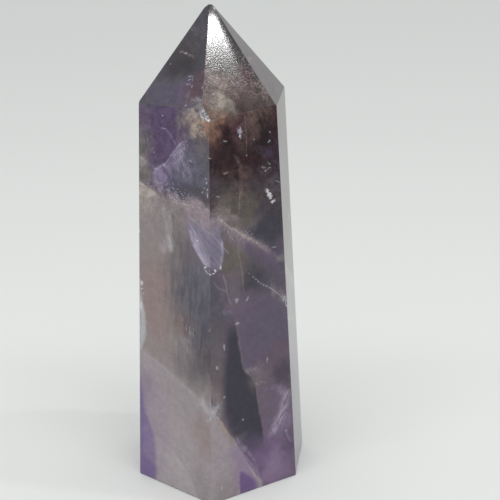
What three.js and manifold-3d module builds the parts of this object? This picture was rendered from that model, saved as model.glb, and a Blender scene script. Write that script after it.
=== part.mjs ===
// Polished amethyst obelisk: a six-sided tower that tapers to a six-facet point.
// It is cut by hand, so the faces differ a little in direction, lean and width.
// Millimetres, +Z up, the flat base on Z = 0, the middle of the stone over the origin.

import * as THREE from 'three';
import { ConvexGeometry } from 'three/addons/geometries/ConvexGeometry.js';
import { mergeVertices } from 'three/addons/utils/BufferGeometryUtils.js';
import Module from 'manifold-3d';

// The six tall faces, in order around the stone, starting on the -X side.
// azimuthDeg is the direction a face looks in, turned from +X towards +Y.
// leanDeg is how far the face leans in towards the top.
// atBaseMm is its distance from the cutting axis at the base.
const TALL_FACES = [
  { azimuthDeg: 180.5, leanDeg: 1.9, atBaseMm: 13.5 },
  { azimuthDeg: 238.5, leanDeg: 2.3, atBaseMm: 13.65 },
  { azimuthDeg: 309.8, leanDeg: 1.6, atBaseMm: 13.1 },
  { azimuthDeg: 358.7, leanDeg: 2.9, atBaseMm: 14.0 },
  { azimuthDeg: 55.1, leanDeg: 2.0, atBaseMm: 13.25 },
  { azimuthDeg: 118.0, leanDeg: 2.1, atBaseMm: 13.4 },
];

// The six facets of the point, in the same order.
// leanDeg is how far a facet looks up from level.
// crossesAxisMm is the height at which its plane crosses the cutting axis.
const POINT_FACETS = [
  { azimuthDeg: 180.8, leanDeg: 35.2, crossesAxisMm: 81.4 },
  { azimuthDeg: 237.3, leanDeg: 35.9, crossesAxisMm: 80.4 },
  { azimuthDeg: 305.0, leanDeg: 37.4, crossesAxisMm: 79.3 },
  { azimuthDeg: 354.3, leanDeg: 37.4, crossesAxisMm: 79.4 },
  { azimuthDeg: 60.0, leanDeg: 36.4, crossesAxisMm: 80.3 },
  { azimuthDeg: 120.0, leanDeg: 36.0, crossesAxisMm: 80.5 },
];

// Where a face stands in the list of all faces: tall faces, facets of the point, base.
const LEFT = 1;
const FRONT = 2;
const RIGHT = 3;
const LEFT_BACK = 0;
const FRONT_FACET = 8;
const RIGHT_FACET = 9;

// Polishing leaves every edge slightly round; the tip is still nearly sharp.
const EDGE_RADIUS_MM = 0.25;
const TIP_RADIUS_MM = 0.12;
const TIP_ZONE_FROM_MM = 75;
const ROUNDING_STEPS = 4;

// Shell-shaped chips on the edge between two faces, with their middle at heightMm.
// edgeRadiusMm is how round that edge is there.
const CHIPS = [
  // Front shoulder, where the front facet of the point laps over the left face.
  {
    faces: [LEFT, FRONT_FACET],
    heightMm: 64.6,
    edgeRadiusMm: EDGE_RADIUS_MM,
    lengthMm: 2.9,
    widthMm: 1.2,
    depthMm: 0.25,
  },
  // Beside the tip.
  {
    faces: [FRONT_FACET, RIGHT_FACET],
    heightMm: 79.3,
    edgeRadiusMm: TIP_RADIUS_MM,
    lengthMm: 1.1,
    widthMm: 0.7,
    depthMm: 0.14,
  },
  // Nick half way up the left edge.
  {
    faces: [LEFT_BACK, LEFT],
    heightMm: 44.2,
    edgeRadiusMm: EDGE_RADIUS_MM,
    lengthMm: 0.8,
    widthMm: 0.6,
    depthMm: 0.22,
  },
  // Crescent on the right edge.
  {
    faces: [FRONT, RIGHT],
    heightMm: 32.4,
    edgeRadiusMm: EDGE_RADIUS_MM,
    lengthMm: 2.0,
    widthMm: 1.0,
    depthMm: 0.22,
  },
];

// A chip is the foot of an ellipsoid this many times taller than the chip is deep.
const CHIP_ROUNDNESS = 3;
const CHIP_SEGMENTS_AROUND = 32;
const CHIP_SEGMENTS_DOWN = 20;

const STONE_COLOUR = 0x6c606f;
const STONE_ROUGHNESS = 0.12;

// Two points nearer than this are one point.
const SAME_POINT_MM = 1e-4;
const SAME_DIRECTION = 1e-6;

const wasm = await Module();
wasm.setup();

// A flat face, as its outward normal and its distance from the origin.
function facePlane(azimuthDeg, leanDeg, pointOnFace) {
  const azimuth = THREE.MathUtils.degToRad(azimuthDeg);
  const lean = THREE.MathUtils.degToRad(leanDeg);
  const normal = new THREE.Vector3(
    Math.cos(azimuth) * Math.cos(lean),
    Math.sin(azimuth) * Math.cos(lean),
    Math.sin(lean),
  );
  return { normal, distance: normal.dot(pointOnFace) };
}

function listFaces() {
  const tallFaces = TALL_FACES.map((face) => {
    const azimuth = THREE.MathUtils.degToRad(face.azimuthDeg);
    const foot = new THREE.Vector3(Math.cos(azimuth), Math.sin(azimuth), 0);
    return facePlane(face.azimuthDeg, face.leanDeg, foot.multiplyScalar(face.atBaseMm));
  });
  const pointFacets = POINT_FACETS.map((facet) => {
    const onAxis = new THREE.Vector3(0, 0, facet.crossesAxisMm);
    return facePlane(facet.azimuthDeg, facet.leanDeg, onAxis);
  });
  const base = { normal: new THREE.Vector3(0, 0, -1), distance: 0 };
  return [...tallFaces, ...pointFacets, base];
}

// The point that three faces share once each has moved in by inset, or null.
function meetingPoint(faces, inset) {
  const rows = new THREE.Matrix3().set(...faces.flatMap((face) => face.normal.toArray()));
  if (Math.abs(rows.determinant()) < SAME_DIRECTION) {
    return null;
  }
  const [a, b, c] = faces.map((face) => face.distance - inset);
  return new THREE.Vector3(a, b, c).applyMatrix3(rows.invert());
}

// Corners of the stone between two heights, with all faces moved in by inset.
function findCorners(faces, inset, fromMm, toMm) {
  const corners = [];
  for (let i = 0; i < faces.length; i += 1) {
    for (let j = i + 1; j < faces.length; j += 1) {
      for (let k = j + 1; k < faces.length; k += 1) {
        const trio = [faces[i], faces[j], faces[k]];
        const at = meetingPoint(trio, inset);
        const inside = at !== null
          && faces.every((face) => face.normal.dot(at) < face.distance - inset + SAME_POINT_MM);
        if (inside && at.z >= fromMm && at.z < toMm) {
          corners.push({ at, normals: trio.map((face) => face.normal) });
        }
      }
    }
  }
  return corners;
}

// Points on the ball that rounds a corner, between the directions of its three faces.
function roundCorner(corner, radius) {
  const [a, b, c] = corner.normals;
  const points = [];
  for (let i = 0; i <= ROUNDING_STEPS; i += 1) {
    for (let j = 0; j <= ROUNDING_STEPS - i; j += 1) {
      const direction = a.clone().multiplyScalar(i);
      direction.addScaledVector(b, j);
      direction.addScaledVector(c, ROUNDING_STEPS - i - j);
      points.push(corner.at.clone().addScaledVector(direction.normalize(), radius));
    }
  }
  return points;
}

function polishedTower(faces) {
  const body = findCorners(faces, EDGE_RADIUS_MM, 0, TIP_ZONE_FROM_MM)
    .flatMap((corner) => roundCorner(corner, EDGE_RADIUS_MM));
  const tip = findCorners(faces, TIP_RADIUS_MM, TIP_ZONE_FROM_MM, Infinity)
    .flatMap((corner) => roundCorner(corner, TIP_RADIUS_MM));
  return new ConvexGeometry([...body, ...tip]);
}

// What a blow took away: the foot of an ellipsoid that stands on the worn edge.
function chipCutter(chip, faces) {
  const [first, second] = chip.faces.map((index) => faces[index]);
  const level = { normal: new THREE.Vector3(0, 0, 1), distance: chip.heightMm };
  const onEdge = meetingPoint([first, second, level], 0);
  const along = first.normal.clone().cross(second.normal).normalize();
  const out = first.normal.clone().add(second.normal).normalize();
  const side = out.clone().cross(along);
  // The sharp edge lies above the rounded one by this much.
  const wornMm = chip.edgeRadiusMm * (1 / first.normal.dot(out) - 1);
  const height = CHIP_ROUNDNESS * chip.depthMm;
  const lift = height - chip.depthMm - wornMm;
  const spread = Math.sqrt(1 - (1 - 1 / CHIP_ROUNDNESS) ** 2);
  const cutter = new THREE.SphereGeometry(1, CHIP_SEGMENTS_AROUND, CHIP_SEGMENTS_DOWN);
  cutter.scale(chip.lengthMm / 2 / spread, chip.widthMm / 2 / spread, height);
  cutter.applyMatrix4(
    new THREE.Matrix4()
      .makeBasis(along, side, out)
      .setPosition(onEdge.addScaledVector(out, lift)),
  );
  return cutter;
}

function toSolid(geometry) {
  const bare = geometry.clone();
  bare.deleteAttribute('normal');
  bare.deleteAttribute('uv');
  const merged = mergeVertices(bare, SAME_POINT_MM);
  return new wasm.Manifold(new wasm.Mesh({
    numProp: 3,
    vertProperties: new Float32Array(merged.attributes.position.array),
    triVerts: new Uint32Array(merged.index.array),
  }));
}

function toGeometry(solid) {
  const { vertProperties, triVerts } = solid.getMesh();
  const shared = new THREE.BufferGeometry();
  shared.setAttribute('position', new THREE.BufferAttribute(vertProperties, 3));
  shared.setIndex(new THREE.BufferAttribute(triVerts, 1));
  const flatSided = shared.toNonIndexed();
  flatSided.computeVertexNormals();
  return flatSided;
}

function makeObelisk() {
  const faces = listFaces();
  let solid = toSolid(polishedTower(faces));
  for (const chip of CHIPS) {
    solid = solid.subtract(toSolid(chipCutter(chip, faces)));
  }
  const geometry = toGeometry(solid);
  geometry.computeBoundingBox();
  const middle = geometry.boundingBox.getCenter(new THREE.Vector3());
  geometry.translate(-middle.x, -middle.y, 0);
  const material = new THREE.MeshStandardMaterial({
    color: STONE_COLOUR,
    roughness: STONE_ROUGHNESS,
    metalness: 0,
  });
  const obelisk = new THREE.Mesh(geometry, material);
  obelisk.name = 'obelisk';
  return obelisk;
}

const part = new THREE.Group();
part.add(makeObelisk());

export default part;
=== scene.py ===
"""Looks of the polished amethyst obelisk: stone, pale floor, soft light and camera."""
import math

import bmesh
import bpy
import numpy as np
from mathutils import Matrix, Vector


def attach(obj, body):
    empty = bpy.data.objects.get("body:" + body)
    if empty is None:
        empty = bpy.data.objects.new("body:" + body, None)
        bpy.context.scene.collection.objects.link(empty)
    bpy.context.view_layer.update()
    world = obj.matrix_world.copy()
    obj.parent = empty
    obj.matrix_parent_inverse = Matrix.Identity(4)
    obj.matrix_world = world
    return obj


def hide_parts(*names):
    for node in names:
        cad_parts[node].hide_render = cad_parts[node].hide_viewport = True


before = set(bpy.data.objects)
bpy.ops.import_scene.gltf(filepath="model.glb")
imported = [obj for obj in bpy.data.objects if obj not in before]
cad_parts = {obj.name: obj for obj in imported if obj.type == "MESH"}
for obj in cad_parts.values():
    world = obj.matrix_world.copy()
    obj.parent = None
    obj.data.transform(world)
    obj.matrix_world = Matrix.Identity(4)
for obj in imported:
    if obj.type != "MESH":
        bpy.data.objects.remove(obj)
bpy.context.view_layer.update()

MM = 0.001

# Camera, in millimetres and degrees, in the frame of the stone.
CAMERA_AT_MM = (25.2, -159.6, 90.2)
CAMERA_AZIMUTH_DEG = 7.13
CAMERA_PITCH_DEG = 17.5
CAMERA_ROLL_DEG = 0.53
FOCAL_LENGTH_MM = 71.9
SENSOR_MM = 36.0
CLIP_START_M = 0.01


def make_camera():
    """The photograph's view: close, from the front and a little above the point."""
    data = bpy.data.cameras.new("camera")
    data.lens = FOCAL_LENGTH_MM
    data.sensor_width = SENSOR_MM
    data.clip_start = CLIP_START_M
    camera = bpy.data.objects.new("camera", data)
    bpy.context.scene.collection.objects.link(camera)
    turn = Matrix.Rotation(math.radians(CAMERA_AZIMUTH_DEG), 4, "Z")
    tilt = Matrix.Rotation(math.radians(90 - CAMERA_PITCH_DEG), 4, "X")
    roll = Matrix.Rotation(math.radians(-CAMERA_ROLL_DEG), 4, "Z")
    place = Matrix.Translation(Vector(CAMERA_AT_MM) * MM)
    camera.matrix_world = place @ turn @ tilt @ roll
    bpy.context.scene.camera = camera


FLOOR_SIZE_M = 6.0
FLOOR_COLOUR = (0.80, 0.81, 0.79, 1.0)
FLOOR_ROUGHNESS = 0.9


def make_floor():
    """A plain pale surface, which isn't part of the object."""
    mesh = bpy.data.meshes.new("floor")
    half = FLOOR_SIZE_M / 2
    corners = [(-half, -half, 0), (half, -half, 0), (half, half, 0), (-half, half, 0)]
    mesh.from_pydata(corners, [], [(0, 1, 2, 3)])
    floor = bpy.data.objects.new("floor", mesh)
    bpy.context.scene.collection.objects.link(floor)
    material = bpy.data.materials.new("floor")
    material.use_nodes = True
    shader = material.node_tree.nodes["Principled BSDF"]
    shader.inputs["Base Color"].default_value = FLOOR_COLOUR
    shader.inputs["Roughness"].default_value = FLOOR_ROUGHNESS
    mesh.materials.append(material)


def area_light(name, azimuth_deg, elevation_deg, distance_m, size_m, watts, target_mm):
    """A rectangular lamp that faces a point of the stone; size_m is its width and height."""
    data = bpy.data.lights.new(name, "AREA")
    data.shape = "RECTANGLE"
    data.size, data.size_y = size_m
    data.energy = watts
    light = bpy.data.objects.new(name, data)
    bpy.context.scene.collection.objects.link(light)
    azimuth = math.radians(azimuth_deg)
    elevation = math.radians(elevation_deg)
    away = Vector((
        math.cos(elevation) * math.cos(azimuth),
        math.cos(elevation) * math.sin(azimuth),
        math.sin(elevation),
    ))
    target = Vector(target_mm) * MM
    light.location = target + away * distance_m
    light.rotation_euler = away.to_track_quat("Z", "Y").to_euler()


SKY_COLOUR = (0.98, 1.0, 1.0, 1.0)
SKY_STRENGTH = 0.75
UPPER_STONE_MM = (0, 0, 60)
GLARE_MIDDLE_MM = (0.3, -2.9, 76.0)


def make_lights():
    """Soft light from all round and from a window, and the lamp that glares on the point."""
    world = bpy.data.worlds.new("world")
    bpy.context.scene.world = world
    world.use_nodes = True
    background = world.node_tree.nodes["Background"]
    background.inputs["Color"].default_value = SKY_COLOUR
    background.inputs["Strength"].default_value = SKY_STRENGTH
    area_light("front_window", azimuth_deg=-84, elevation_deg=61, distance_m=0.33,
               size_m=(0.6, 0.07), watts=0.5, target_mm=UPPER_STONE_MM)
    area_light("ceiling_lamp", azimuth_deg=-1.5, elevation_deg=57.0, distance_m=2.0,
               size_m=(0.08, 0.135), watts=2.5, target_mm=GLARE_MIDDLE_MM)
    bpy.context.scene.view_settings.view_transform = "Standard"


# Socket places of Blender's Mix node when it mixes colours.
MIX_UNDER = 6
MIX_OVER = 7
MIX_RESULT = 2

QUARTZ_IOR = 1.544

# The sheen of the polish over the stone's own colour, and the darkest colour used.
SHEEN_ON_STONE = 0.016
DARKEST_ALBEDO = 0.004

# The stone's colours as they look in the light of the photograph, each channel 0 to 255.
INK = (44, 33, 39)
MAROON = (56, 38, 44)
AUBERGINE = (60, 46, 53)
PLUM = (86, 63, 70)
DUSK = (74, 66, 70)
CHARCOAL = (66, 64, 72)
NIGHT_BLUE = (64, 59, 76)
SLATE = (84, 80, 88)
BLUE_SLATE = (90, 89, 101)
INDIGO = (83, 76, 95)
VIOLET = (88, 74, 98)
GREY_PURPLE = (93, 85, 101)
PURPLE = (112, 92, 122)
DEEP_PURPLE = (103, 82, 124)
BLUE_PURPLE = (112, 101, 139)
MAUVE = (104, 92, 107)
ROSE_MAUVE = (99, 84, 95)
PINK_MAUVE = (134, 116, 138)
LILAC = (132, 122, 146)
PALE_LILAC = (162, 154, 172)
BLUE_VEIL = (119, 116, 131)
PINK_VEIL = (140, 127, 134)
TAUPE = (131, 123, 124)
DARK_TAUPE = (108, 101, 104)
PINK_BROWN = (135, 119, 118)
BRICK = (120, 98, 94)
RUST = (130, 100, 87)
BROWN = (98, 81, 77)
UMBER = (77, 65, 63)
OLIVE = (98, 92, 86)
GREEN_GREY = (104, 101, 98)
GREY = (96, 91, 95)
MILKY = (149, 141, 145)
PALE_MILKY = (159, 153, 155)
WARM_GREY = (138, 130, 130)
CREAM = (164, 156, 147)
TAN = (150, 130, 114)
ICE = (172, 172, 177)
WHITE = (208, 203, 208)


def to_linear(level):
    """The light of one channel, from its level on a screen."""
    share = level / 255
    return share / 12.92 if share <= 0.04045 else ((share + 0.055) / 1.055) ** 2.4


# The two healed fractures that cross the whole stone, in millimetres:
# height over the middle of the base, and how much they fall along X and along Y.
FRACTURE = (41.95, 0.518, 0.597)
MILKY_FOOT = (-0.78, 1.242, 1.165)

# How much the finer parts of a noise count beside the coarser ones.
NOISE_ROUGHNESS = 0.6

# Noise stays mostly between the inner two levels, and nearly always between the outer two.
NOISE_LEAST = 0.3
NOISE_LOW = 0.38
NOISE_HIGH = 0.62
NOISE_MOST = 0.7

# How sharp the marks are: shares of an oval's own size, or millimetres beside a curve.
ZONE_CORE = 0.3
ZONE_RIM = 1.6
ZONE_AMOUNT = 0.95
FLAKE_CORE = 0.55
FLAKE_RIM = 1.2
SPECKS_CORE = 0.6
SPECKS_RIM = 1.2
VEIL_RIM_MM = 0.12
LEAST_RISE_MM = 0.1

# A speck, as a share of the distance between two.
SPECK_CORE = 0.1
SPECK_RIM = 0.4

# A veil that takes all that lies under its curve.
ALL_UNDER_MM = -300

# The share of a curve over which a line or a veil fades at each end.
FADE = 0.12

# The stone is smooth and cloudy below, and full of small flaws above.
CALM_BELOW_MM = 44
LIVELY_ABOVE_MM = 52
CALM_SHARE = 0.3
GRIT_SHARE = 0.5

# Faint smudges in the polish, and the shares of its roughness between which they vary.
SMUDGE_SIZE_MM = 6.0
SMUDGE_LOW = 0.8
SMUDGE_HIGH = 1.25


def make_oval_group():
    """A node group that says how strongly an oval mark covers a place of a face."""
    group = bpy.data.node_groups.new("oval", "ShaderNodeTree")
    names = [
        "U", "V", "Along U", "Along V", "Along Offset", "Up U", "Up V", "Up Offset",
        "Torn", "Inside", "Outside", "Amount",
    ]
    for name in names:
        group.interface.new_socket(name=name, in_out="INPUT", socket_type="NodeSocketFloat")
    group.interface.new_socket(name="Strength", in_out="OUTPUT", socket_type="NodeSocketFloat")
    given = group.nodes.new("NodeGroupInput").outputs

    def compute(operation, *values):
        node = group.nodes.new("ShaderNodeMath")
        node.operation = operation
        for socket, value in zip(node.inputs, values):
            group.links.new(value, socket)
        return node.outputs[0]

    parts = []
    for axis in ("Along", "Up"):
        rest = compute("MULTIPLY_ADD", given["V"], given[axis + " V"], given[axis + " Offset"])
        parts.append(compute("MULTIPLY_ADD", given["U"], given[axis + " U"], rest))
    along, up = parts
    square = compute("MULTIPLY_ADD", up, up, compute("MULTIPLY", along, along))
    reach = compute("ADD", compute("SQRT", square), given["Torn"])
    rim = group.nodes.new("ShaderNodeMapRange")
    rim.interpolation_type = "SMOOTHSTEP"
    rim.inputs["To Max"].default_value = 0.0
    for socket, value in (("Value", reach), ("From Min", given["Inside"]),
                          ("From Max", given["Outside"]), ("To Min", given["Amount"])):
        group.links.new(value, rim.inputs[socket])
    group.links.new(rim.outputs["Result"], group.nodes.new("NodeGroupOutput").inputs["Strength"])
    return group


OVAL_GROUP = make_oval_group()


class FacePaint:
    """The material of one flat face, painted mark over mark.

    Places are in millimetres on the face: u runs level to the right as seen from outside,
    v is the height above the base. Marks bend with noises of the whole stone, so they run
    on over the edges. Colours are given as they look; light is how much of it the face gets.
    """

    def __init__(self, name, azimuth_deg, ground, light=0.83):
        self.light = light
        self.material = bpy.data.materials.new(name)
        self.material.use_nodes = True
        self.nodes = self.material.node_tree.nodes
        self.links = self.material.node_tree.links
        self.shader = self.nodes["Principled BSDF"]
        self.shader.inputs["IOR"].default_value = QUARTZ_IOR
        azimuth = math.radians(azimuth_deg)
        along = (-math.sin(azimuth), math.cos(azimuth), 0)
        object_place = self.node("ShaderNodeTexCoord").outputs["Object"]
        self.solid = self.vector("SCALE", object_place, scale=1 / MM)
        self.height = self.node("ShaderNodeSeparateXYZ", {"Vector": self.solid}).outputs["Z"]
        self.across = self.vector("DOT_PRODUCT", self.solid, along)
        flat = {"X": self.across, "Y": self.height}
        self.flat = self.node("ShaderNodeCombineXYZ", flat).outputs["Vector"]
        slow = self.wobble(size_mm=4.0, reach_mm=1.6, detail=1.0)
        smoky = self.wobble(size_mm=2.0, reach_mm=1.3, detail=2.0)
        fine = self.wobble(size_mm=0.7, reach_mm=0.22, detail=3.0)
        self.crisp = self.split(self.vector("ADD", self.flat, fine))
        drift = self.vector("ADD", smoky, slow)
        self.loose = self.split(self.vector("ADD", self.flat, drift))
        self.inside = self.vector("ADD", self.solid, drift)
        self.banks = self.noise(self.solid, size_mm=3.6, detail=2.0)
        self.clouds = self.noise(self.solid, size_mm=1.2, detail=3.0)
        self.grit = self.noise(self.solid, size_mm=0.3, detail=3.0)
        self.colour = self.node("ShaderNodeRGB").outputs["Color"]
        self.colour.default_value = self.albedo(ground)

    def albedo(self, colour):
        """The stone's own colour, from how it looks on this face."""
        own = [(to_linear(level) - SHEEN_ON_STONE) / self.light for level in colour]
        return (*(max(part, DARKEST_ALBEDO) for part in own), 1.0)

    def node(self, kind, inputs=None, **settings):
        """A new node with its inputs set or linked."""
        node = self.nodes.new(kind)
        for name, value in settings.items():
            setattr(node, name, value)
        self.fill(node, inputs or {})
        return node

    def fill(self, node, inputs):
        for name, value in inputs.items():
            if isinstance(value, bpy.types.NodeSocket):
                self.links.new(value, node.inputs[name])
            else:
                node.inputs[name].default_value = value

    def math(self, operation, *values):
        return self.node("ShaderNodeMath", dict(enumerate(values)), operation=operation).outputs[0]

    def vector(self, operation, *values, scale=None):
        inputs = dict(enumerate(values))
        if scale is not None:
            inputs["Scale"] = scale
        node = self.node("ShaderNodeVectorMath", inputs, operation=operation)
        return node.outputs["Value" if operation in ("DOT_PRODUCT", "LENGTH") else "Vector"]

    def split(self, place):
        """The two numbers u and v of a place."""
        parts = self.node("ShaderNodeSeparateXYZ", {"Vector": place}).outputs
        return parts["X"], parts["Y"]

    def ramp(self, value, start, end, low=0.0, high=1.0):
        """A smooth step of value: low at start, high at end."""
        inputs = {"Value": value, "From Min": start, "From Max": end, "To Min": low, "To Max": high}
        return self.node("ShaderNodeMapRange", inputs, interpolation_type="SMOOTHSTEP").outputs["Result"]

    def noise(self, place, size_mm, detail, output="Fac", distortion=0.0):
        inputs = {
            "Vector": place,
            "Scale": 1 / size_mm,
            "Detail": detail,
            "Roughness": NOISE_ROUGHNESS,
            "Distortion": distortion,
        }
        return self.node("ShaderNodeTexNoise", inputs).outputs[output]

    def wobble(self, size_mm, reach_mm, detail):
        """A noise that moves a place to and fro by up to its reach."""
        colour = self.noise(self.solid, size_mm, detail, output="Color")
        centred = self.vector("SUBTRACT", colour, (0.5, 0.5, 0.5))
        return self.vector("SCALE", centred, scale=2 * reach_mm)

    def fibres(self, turn_deg, length_mm, width_mm):
        """A noise drawn out along one direction of the face, turned from level."""
        inputs = {
            "Vector": self.flat,
            "Rotation": (0, 0, math.radians(turn_deg)),
            "Scale": (length_mm, width_mm, 1.0),
        }
        drawn = self.node("ShaderNodeMapping", inputs, vector_type="TEXTURE").outputs["Vector"]
        return self.noise(drawn, size_mm=1.0, detail=4.0, distortion=0.5)

    def cover(self, colour, amount, texture=None, depth=1.0):
        """Lays a colour over the face, as much as amount says, and less where a texture is low."""
        if texture is not None:
            patchy = self.ramp(texture, NOISE_LOW, NOISE_HIGH, 1 - depth, 1.0)
            amount = self.math("MULTIPLY", amount, patchy)
        inputs = {0: amount, MIX_OVER: self.albedo(colour)}
        mix = self.node("ShaderNodeMix", inputs, data_type="RGBA")
        self.links.new(self.colour, mix.inputs[MIX_UNDER])
        self.colour = mix.outputs[MIX_RESULT]

    def oval(self, at, size, turn, place, inside, outside, amount, torn=0.0):
        """Strength of an oval mark: amount inside it, 0 outside; 1 is its rim."""
        angle = math.radians(turn)
        along = (2 * math.cos(angle) / size[0], 2 * math.sin(angle) / size[0])
        up = (-2 * math.sin(angle) / size[1], 2 * math.cos(angle) / size[1])
        inputs = {
            "U": place[0],
            "V": place[1],
            "Along U": along[0],
            "Along V": along[1],
            "Along Offset": -at[0] * along[0] - at[1] * along[1],
            "Up U": up[0],
            "Up V": up[1],
            "Up Offset": -at[0] * up[0] - at[1] * up[1],
            "Torn": torn,
            "Inside": inside,
            "Outside": outside,
            "Amount": amount,
        }
        node = self.nodes.new("ShaderNodeGroup")
        node.node_tree = OVAL_GROUP
        self.fill(node, inputs)
        return node.outputs["Strength"]

    def patch(self, colour, at, size, turn=0, soft=0.8, amount=1.0, texture=None, depth=1.0):
        """A soft zone of colour with a smoky rim: at is its middle, size its width and height.

        turn is in degrees, and soft is how far the rim fades, as a share of the size. A texture
        makes it patchy, as much as depth says.
        """
        strength = self.oval(at, size, turn, self.loose, 1 - soft, 1 + soft, amount)
        self.cover(colour, strength, texture, depth)

    def patches(self, rows):
        """Patches one over the other: each row holds the values of patch, in the same order."""
        for row in rows:
            self.patch(*row)

    def zone(self, colour, at, size, within=None):
        """A soft zone inside the stone, so that it runs on from face to face."""
        offset = self.vector("SUBTRACT", self.inside, at)
        share = self.vector("MULTIPLY", offset, tuple(2 / part for part in size))
        strength = self.ramp(self.vector("LENGTH", share), ZONE_CORE, ZONE_RIM, ZONE_AMOUNT, 0.0)
        if within is not None:
            strength = self.math("MULTIPLY", strength, within)
        self.cover(colour, strength)

    def flakes(self, colour, spots, amount=0.8, ragged=2.6):
        """Small bright flakes with ragged rims: each is a middle, a size and a turn."""
        torn = self.math("MULTIPLY_ADD", self.grit, ragged, -0.5 * ragged)
        for at, size, turn in spots:
            flake = self.oval(at, size, turn, self.crisp, FLAKE_CORE, FLAKE_RIM, amount, torn)
            self.cover(colour, flake)

    def beside(self, points, upright=False):
        """Distance from a curve, positive above it or to its right, and the share run along it."""
        across, height = self.crisp
        run_place, rise_place = (height, across) if upright else (across, height)
        runs = [point[1 if upright else 0] for point in points]
        rises = [point[0 if upright else 1] for point in points]
        low = min(rises)
        span = max(max(rises) - low, LEAST_RISE_MM)
        along = {"Value": run_place, "From Min": runs[0], "From Max": runs[-1]}
        share = self.node("ShaderNodeMapRange", along).outputs["Result"]
        curve = self.node("ShaderNodeFloatCurve", {"Value": share})
        knots = curve.mapping.curves[0].points
        for _ in points[2:]:
            knots.new(0.5, 0.5)
        for knot, run, rise in zip(knots, runs, rises):
            knot.location = ((run - runs[0]) / (runs[-1] - runs[0]), (rise - low) / span)
        curve.mapping.update()
        curve_place = self.math("MULTIPLY_ADD", curve.outputs["Value"], span, low)
        gap = self.math("SUBTRACT", rise_place, curve_place)
        steepness = abs(rises[-1] - rises[0]) / abs(runs[-1] - runs[0])
        return self.math("MULTIPLY", gap, 1 / math.hypot(1, steepness)), share

    def ends(self, share, fade):
        """1 along a curve, 0 at its two ends."""
        return self.ramp(self.math("PINGPONG", share, 0.5), 0.0, fade) if fade else 1.0

    def line(self, colour, points, width, amount=1.0, upright=False, texture=None, depth=1.0, fade=FADE):
        """A thin line through points, soft at its sides and ends."""
        gap, share = self.beside(points, upright)
        near = self.ramp(self.math("ABSOLUTE", gap), 0.0, width, amount, 0.0)
        self.cover(colour, self.math("MULTIPLY", near, self.ends(share, fade)), texture, depth)

    def lines(self, rows, upright=False):
        """Lines one over the other: each row is a colour, points, width, amount, texture and depth."""
        for colour, points, width, amount, *patchy in rows:
            self.line(colour, points, width, amount, upright, *patchy)

    def veil(self, colour, points, reach, amount=1.0, upright=False, texture=None, depth=1.0, fade=FADE):
        """A haze with one sharp side on a curve; reach below 0 lies under or left of it."""
        gap, share = self.beside(points, upright)
        inward = self.math("MULTIPLY", gap, math.copysign(1.0, reach))
        rim = self.ramp(inward, -VEIL_RIM_MM, VEIL_RIM_MM)
        thin = self.ramp(inward, 0.0, abs(reach), amount, 0.0)
        strength = self.math("MULTIPLY", self.math("MULTIPLY", rim, thin), self.ends(share, fade))
        self.cover(colour, strength, texture, depth)

    def between(self, colour, left, right, soft, amount=1.0, texture=None, depth=1.0, fade=FADE):
        """What lies between two upright curves; soft is how far its two sides fade."""
        left_gap, left_share = self.beside(left, upright=True)
        right_gap, right_share = self.beside(right, upright=True)
        left_side = self.ramp(left_gap, -soft[0], soft[0])
        right_side = self.ramp(right_gap, soft[1], -soft[1])
        inside = self.math("MULTIPLY", left_side, right_side)
        tips = self.math("MULTIPLY", self.ends(left_share, fade), self.ends(right_share, fade))
        strength = self.math("MULTIPLY", self.math("MULTIPLY", inside, tips), amount)
        self.cover(colour, strength, texture, depth)

    def specks(self, colour, at, size, spacing, share, amount=0.8):
        """Tiny bright grains in an oval; share is how many of the possible grains there are."""
        inputs = {"Vector": self.flat, "Scale": 1 / spacing, "Randomness": 1.0}
        cells = self.node("ShaderNodeTexVoronoi", inputs, voronoi_dimensions="2D")
        dot = self.ramp(cells.outputs["Distance"], SPECK_RIM, SPECK_CORE)
        draw = self.node("ShaderNodeSeparateXYZ", {"Vector": cells.outputs["Color"]}).outputs["X"]
        kept = self.math("MULTIPLY", dot, self.ramp(draw, 1 - share, 1.0))
        zone = self.oval(at, size, 0, self.loose, SPECKS_CORE, SPECKS_RIM, amount)
        self.cover(colour, self.math("MULTIPLY", kept, zone))

    def over(self, fracture):
        """Height over a fracture that crosses the whole stone, at right angles to it."""
        height, fall_x, fall_y = fracture
        steepness = math.hypot(1, fall_x, fall_y)
        bent = self.vector("ADD", self.solid, self.wobble(size_mm=6.0, reach_mm=0.9, detail=3.0))
        slope = (fall_x / steepness, fall_y / steepness, 1 / steepness)
        return self.math("SUBTRACT", self.vector("DOT_PRODUCT", bent, slope), height / steepness)

    def finish(self, roughness=0.08, specular=0.5, mottle=0.12, relief=None, grain=None):
        """Last tints, livelier over the fracture; then all goes to the shader."""
        lively = self.ramp(self.height, CALM_BELOW_MM, LIVELY_ABOVE_MM, CALM_SHARE * mottle, mottle)
        broad = self.ramp(self.clouds, NOISE_LEAST, NOISE_MOST, -1.0, 1.0)
        small = self.ramp(self.grit, NOISE_LEAST, NOISE_MOST, -GRIT_SHARE, GRIT_SHARE)
        tint = self.math("MULTIPLY_ADD", self.math("ADD", broad, small), lively, 1.0)
        final = self.vector("SCALE", self.colour, scale=1.0)
        self.links.new(tint, final.node.inputs["Scale"])
        self.links.new(final, self.shader.inputs["Base Color"])
        smudges = self.noise(self.solid, SMUDGE_SIZE_MM, detail=3.0)
        low, high = roughness * SMUDGE_LOW, roughness * SMUDGE_HIGH
        gloss = self.ramp(smudges, NOISE_LEAST, NOISE_MOST, low, high)
        if grain is not None:
            gloss = self.math("MULTIPLY", gloss, grain)
        self.links.new(gloss, self.shader.inputs["Roughness"])
        self.shader.inputs["Specular IOR Level"].default_value = specular
        if relief is not None:
            bump = self.node("ShaderNodeBump", {"Strength": 1.0, "Distance": MM, "Height": relief})
            self.links.new(bump.outputs["Normal"], self.shader.inputs["Normal"])
        return self.material


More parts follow.
